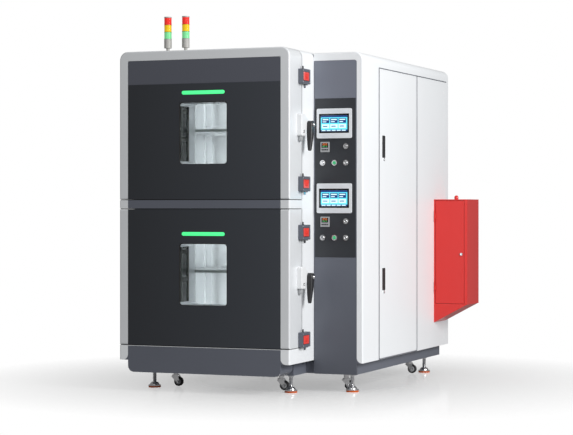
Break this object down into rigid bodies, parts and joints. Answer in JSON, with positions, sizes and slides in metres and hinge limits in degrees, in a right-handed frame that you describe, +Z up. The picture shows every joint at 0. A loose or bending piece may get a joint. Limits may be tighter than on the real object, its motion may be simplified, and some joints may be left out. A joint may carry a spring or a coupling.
{
  "type": "battery test chamber",
  "caption": "Free-standing battery test chamber: stacked insulated compartments with windowed doors, a set-back machine cabinet with operator panels, signal towers and a red extinguisher box.",
  "frame": {"origin": "centre of the whole outline in plan, on the floor", "axes": "+X to the right seen from the doors, +Y from the doors into the depth, +Z up"},
  "size_m": [1.486, 1.893, 2.0205],
  "materials": {
    "white_paint": "satin powder coat",
    "silver_paint": "satin powder coat",
    "dark_face": "semi-gloss",
    "grey_paint": "satin powder coat",
    "black_panel": "satin",
    "stainless": "brushed",
    "seal_rubber": "matte",
    "window": "clear",
    "zinc_fittings": "satin",
    "bright_steel": "polished",
    "handle_white": "semi-gloss",
    "black_plastic": "fine grain",
    "red_plastic": "gloss",
    "button_metal": "satin",
    "green_plastic": "gloss",
    "instrument_plastic": "fine grain",
    "limiter_plastic": "fine grain",
    "lens_plastic": "translucent",
    "tower_plastic": "fine grain",
    "red_paint": "satin powder coat",
    "cylinder_paint": "gloss",
    "wheel_rubber": "matte"
  },
  "bodies": {
    "cabinet": {"chamber_casing": "white_paint", "chamber_liners": "stainless", "shelves": "stainless", "mid_band": "grey_paint", "skirt": "grey_paint", "base_frame": "grey_paint", "body_fittings": "bright_steel", "tower_bases": "tower_plastic", "tower_lenses": "lens_plastic", "machine_casing": "white_paint", "machine_front_cover": "grey_paint", "control_panel": "black_panel", "hmi_panels": "instrument_plastic", "controllers": "limiter_plastic", "button_bezels": "button_metal", "side_panel": "white_paint", "levelling_feet": "bright_steel", "fire_box": "red_paint", "gas_cylinder": "cylinder_paint"},
    "upper_door": {"upper_door_shell": "silver_paint", "upper_door_face": "dark_face", "upper_door_plug": "stainless", "upper_door_gasket": "seal_rubber", "upper_window_glass": "window", "upper_door_fittings": "zinc_fittings", "upper_handle_base": "handle_white"},
    "lower_door": {"lower_door_shell": "silver_paint", "lower_door_face": "dark_face", "lower_door_plug": "stainless", "lower_door_gasket": "seal_rubber", "lower_window_glass": "window", "lower_door_fittings": "zinc_fittings", "lower_handle_base": "handle_white"},
    "upper_lever": {"upper_lever": "black_plastic"},
    "lower_lever": {"lower_lever": "black_plastic"},
    "upper_latch_release_1": {"upper_latch_release_1": "red_plastic"},
    "upper_latch_release_2": {"upper_latch_release_2": "red_plastic"},
    "lower_latch_release_1": {"lower_latch_release_1": "red_plastic"},
    "lower_latch_release_2": {"lower_latch_release_2": "red_plastic"},
    "upper_alarm_button": {"upper_alarm_button": "button_metal"},
    "upper_light_button": {"upper_light_button": "button_metal"},
    "upper_start_button": {"upper_start_button": "green_plastic"},
    "upper_stop_button": {"upper_stop_button": "button_metal"},
    "lower_alarm_button": {"lower_alarm_button": "button_metal"},
    "lower_light_button": {"lower_light_button": "button_metal"},
    "lower_start_button": {"lower_start_button": "green_plastic"},
    "lower_stop_button": {"lower_stop_button": "button_metal"},
    "upper_side_handle": {"upper_side_handle": "black_plastic"},
    "lower_side_handle": {"lower_side_handle": "black_plastic"},
    "fire_box_door": {"fire_box_door": "red_paint"},
    "front_left_caster_fork": {"front_left_caster_fork": "bright_steel"},
    "front_left_caster_wheel": {"front_left_caster_wheel": "wheel_rubber"},
    "front_right_caster_fork": {"front_right_caster_fork": "bright_steel"},
    "front_right_caster_wheel": {"front_right_caster_wheel": "wheel_rubber"},
    "cabinet_front_caster_fork": {"cabinet_front_caster_fork": "bright_steel"},
    "cabinet_front_caster_wheel": {"cabinet_front_caster_wheel": "wheel_rubber"},
    "cabinet_rear_caster_fork": {"cabinet_rear_caster_fork": "bright_steel"},
    "cabinet_rear_caster_wheel": {"cabinet_rear_caster_wheel": "wheel_rubber"},
    "rear_left_caster_fork": {"rear_left_caster_fork": "bright_steel"},
    "rear_left_caster_wheel": {"rear_left_caster_wheel": "wheel_rubber"}
  },
  "joints": [
    {"name": "upper_door_hinge", "type": "hinge", "parent": "cabinet", "child": "upper_door", "pos_m": [-0.734, -0.7715, 1.42], "axis": [0, 0, -1], "range_deg": [0, 110]},
    {"name": "upper_lever_pivot", "type": "hinge", "parent": "upper_door", "child": "upper_lever", "pos_m": [0.305, -0.7505, 1.416], "axis": [-1, 0, 0], "range_deg": [0, 90]},
    {"name": "lower_door_hinge", "type": "hinge", "parent": "cabinet", "child": "lower_door", "pos_m": [-0.734, -0.7715, 0.611], "axis": [0, 0, -1], "range_deg": [0, 110]},
    {"name": "lower_lever_pivot", "type": "hinge", "parent": "lower_door", "child": "lower_lever", "pos_m": [0.305, -0.7505, 0.616], "axis": [-1, 0, 0], "range_deg": [0, 90]},
    {"name": "upper_latch_release_1_push", "type": "slide", "parent": "upper_door", "child": "upper_latch_release_1", "axis": [-1, 0, 0], "range_m": [0, 0.004], "stiffness_N_per_m": 900},
    {"name": "upper_latch_release_2_push", "type": "slide", "parent": "upper_door", "child": "upper_latch_release_2", "axis": [-1, 0, 0], "range_m": [0, 0.004], "stiffness_N_per_m": 900},
    {"name": "lower_latch_release_1_push", "type": "slide", "parent": "lower_door", "child": "lower_latch_release_1", "axis": [-1, 0, 0], "range_m": [0, 0.004], "stiffness_N_per_m": 900},
    {"name": "lower_latch_release_2_push", "type": "slide", "parent": "lower_door", "child": "lower_latch_release_2", "axis": [-1, 0, 0], "range_m": [0, 0.004], "stiffness_N_per_m": 900},
    {"name": "upper_alarm_button_push", "type": "slide", "parent": "cabinet", "child": "upper_alarm_button", "axis": [0, 1, 0], "range_m": [0, 0.004], "stiffness_N_per_m": 500},
    {"name": "upper_light_button_push", "type": "slide", "parent": "cabinet", "child": "upper_light_button", "axis": [0, 1, 0], "range_m": [0, 0.004], "stiffness_N_per_m": 500},
    {"name": "upper_start_button_push", "type": "slide", "parent": "cabinet", "child": "upper_start_button", "axis": [0, 1, 0], "range_m": [0, 0.004], "stiffness_N_per_m": 500},
    {"name": "upper_stop_button_push", "type": "slide", "parent": "cabinet", "child": "upper_stop_button", "axis": [0, 1, 0], "range_m": [0, 0.004], "stiffness_N_per_m": 500},
    {"name": "lower_alarm_button_push", "type": "slide", "parent": "cabinet", "child": "lower_alarm_button", "axis": [0, 1, 0], "range_m": [0, 0.004], "stiffness_N_per_m": 500},
    {"name": "lower_light_button_push", "type": "slide", "parent": "cabinet", "child": "lower_light_button", "axis": [0, 1, 0], "range_m": [0, 0.004], "stiffness_N_per_m": 500},
    {"name": "lower_start_button_push", "type": "slide", "parent": "cabinet", "child": "lower_start_button", "axis": [0, 1, 0], "range_m": [0, 0.004], "stiffness_N_per_m": 500},
    {"name": "lower_stop_button_push", "type": "slide", "parent": "cabinet", "child": "lower_stop_button", "axis": [0, 1, 0], "range_m": [0, 0.004], "stiffness_N_per_m": 500},
    {"name": "upper_side_handle_pivot", "type": "hinge", "parent": "cabinet", "child": "upper_side_handle", "pos_m": [0.5335, -0.2585, 1.3655], "axis": [0, -1, 0], "range_deg": [0, 40]},
    {"name": "lower_side_handle_pivot", "type": "hinge", "parent": "cabinet", "child": "lower_side_handle", "pos_m": [0.5335, -0.2585, 0.6435], "axis": [0, -1, 0], "range_deg": [0, 40]},
    {"name": "fire_box_door_hinge", "type": "hinge", "parent": "cabinet", "child": "fire_box_door", "pos_m": [0.543, 0.6545, 0.72], "axis": [0, 0, -1], "range_deg": [0, 80]},
    {"name": "front_left_caster_swivel", "type": "hinge", "parent": "cabinet", "child": "front_left_caster_fork", "pos_m": [-0.544, -0.6165, 0.08], "axis": [0, 0, 1], "continuous": true},
    {"name": "front_left_caster_roll", "type": "hinge", "parent": "front_left_caster_fork", "child": "front_left_caster_wheel", "pos_m": [-0.526, -0.6165, 0.028], "axis": [0, 1, 0], "continuous": true},
    {"name": "front_right_caster_swivel", "type": "hinge", "parent": "cabinet", "child": "front_right_caster_fork", "pos_m": [0.082, -0.6165, 0.08], "axis": [0, 0, 1], "continuous": true},
    {"name": "front_right_caster_roll", "type": "hinge", "parent": "front_right_caster_fork", "child": "front_right_caster_wheel", "pos_m": [0.1, -0.6165, 0.028], "axis": [0, 1, 0], "continuous": true},
    {"name": "cabinet_front_caster_swivel", "type": "hinge", "parent": "cabinet", "child": "cabinet_front_caster_fork", "pos_m": [0.4, -0.4725, 0.08], "axis": [0, 0, 1], "continuous": true},
    {"name": "cabinet_front_caster_roll", "type": "hinge", "parent": "cabinet_front_caster_fork", "child": "cabinet_front_caster_wheel", "pos_m": [0.418, -0.4725, 0.028], "axis": [0, 1, 0], "continuous": true},
    {"name": "cabinet_rear_caster_swivel", "type": "hinge", "parent": "cabinet", "child": "cabinet_rear_caster_fork", "pos_m": [0.4, 0.6135, 0.08], "axis": [0, 0, 1], "continuous": true},
    {"name": "cabinet_rear_caster_roll", "type": "hinge", "parent": "cabinet_rear_caster_fork", "child": "cabinet_rear_caster_wheel", "pos_m": [0.418, 0.6135, 0.028], "axis": [0, 1, 0], "continuous": true},
    {"name": "rear_left_caster_swivel", "type": "hinge", "parent": "cabinet", "child": "rear_left_caster_fork", "pos_m": [-0.544, 0.7535, 0.08], "axis": [0, 0, 1], "continuous": true},
    {"name": "rear_left_caster_roll", "type": "hinge", "parent": "rear_left_caster_fork", "child": "rear_left_caster_wheel", "pos_m": [-0.526, 0.7535, 0.028], "axis": [0, 1, 0], "continuous": true}
  ]
}
